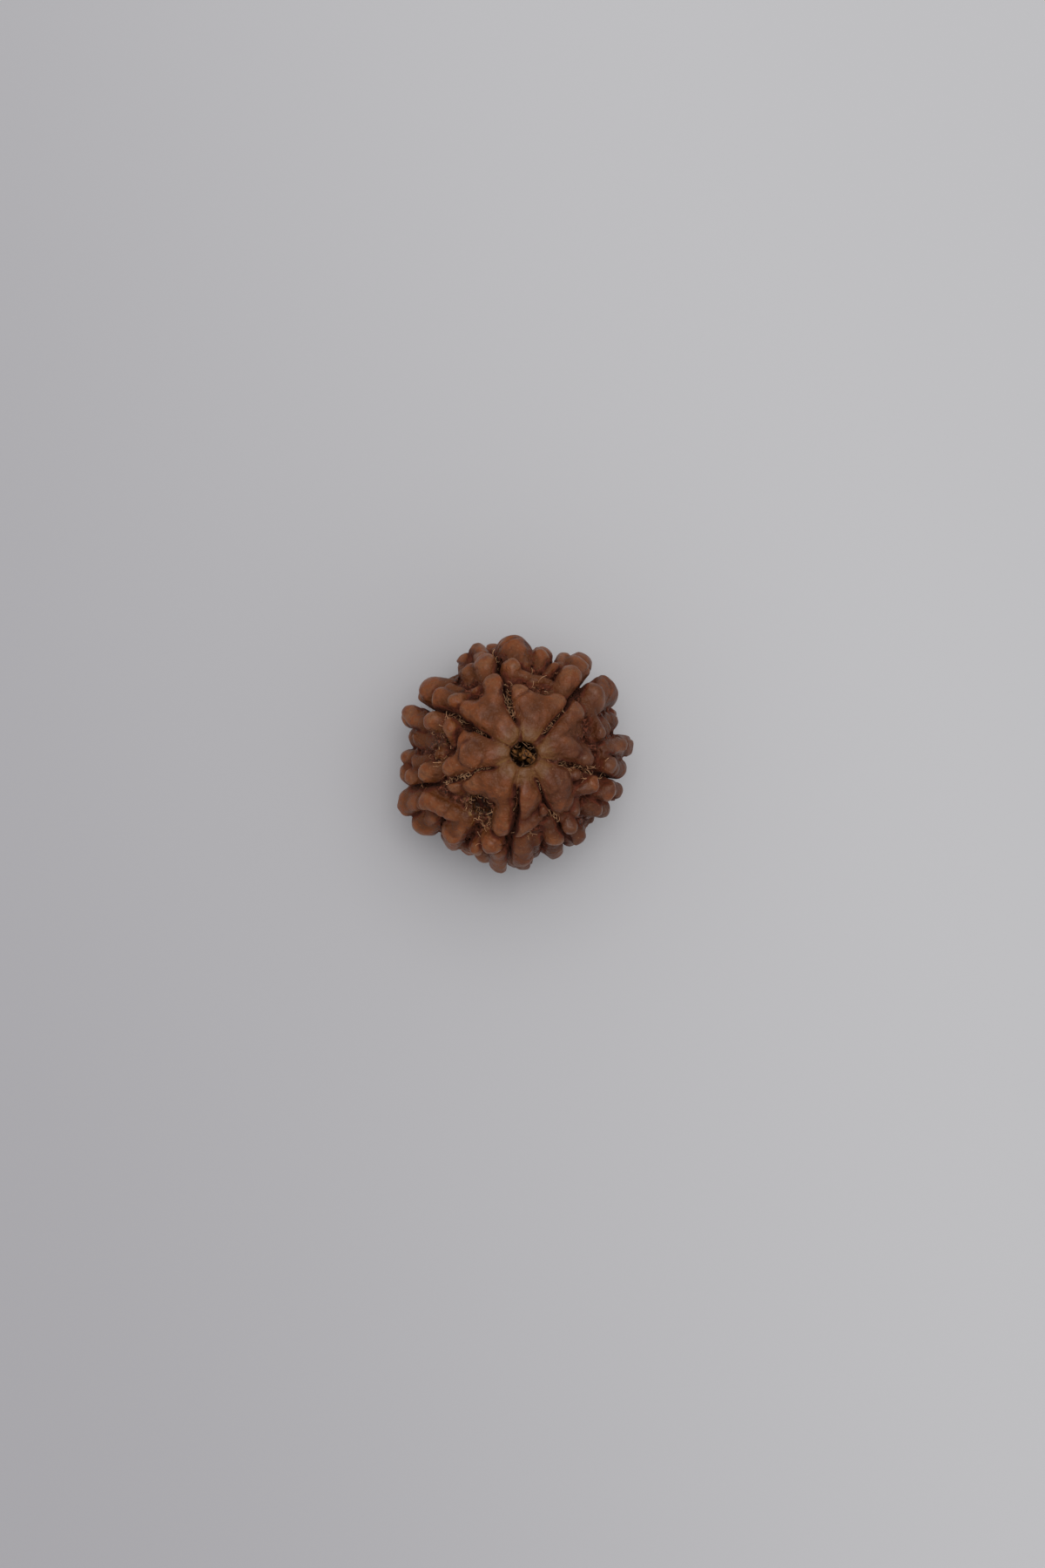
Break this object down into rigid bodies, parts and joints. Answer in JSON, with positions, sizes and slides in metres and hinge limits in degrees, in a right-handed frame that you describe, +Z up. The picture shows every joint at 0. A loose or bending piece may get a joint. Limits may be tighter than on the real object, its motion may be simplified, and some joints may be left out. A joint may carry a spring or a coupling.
{
  "type": "rudraksha bead",
  "caption": "Knobbly brown dried fruit stone with furrows from pole to pole and a hole through its middle, threaded as a prayer bead.",
  "frame": {"origin": "on the axis of the stringing hole, in the plane that the bead stands on", "axes": "+Z up along the stringing hole; +X to the right and +Y to the top of the picture, which looks down the hole"},
  "size_m": [0.0207, 0.0208, 0.0183],
  "materials": {
    "stone": "dry woody fruit stone, red-brown with darker furrows, satin on the high lobes, dull and fibrous in the furrows"
  },
  "bodies": {
    "root": {"bead": "stone"}
  },
  "joints": []
}
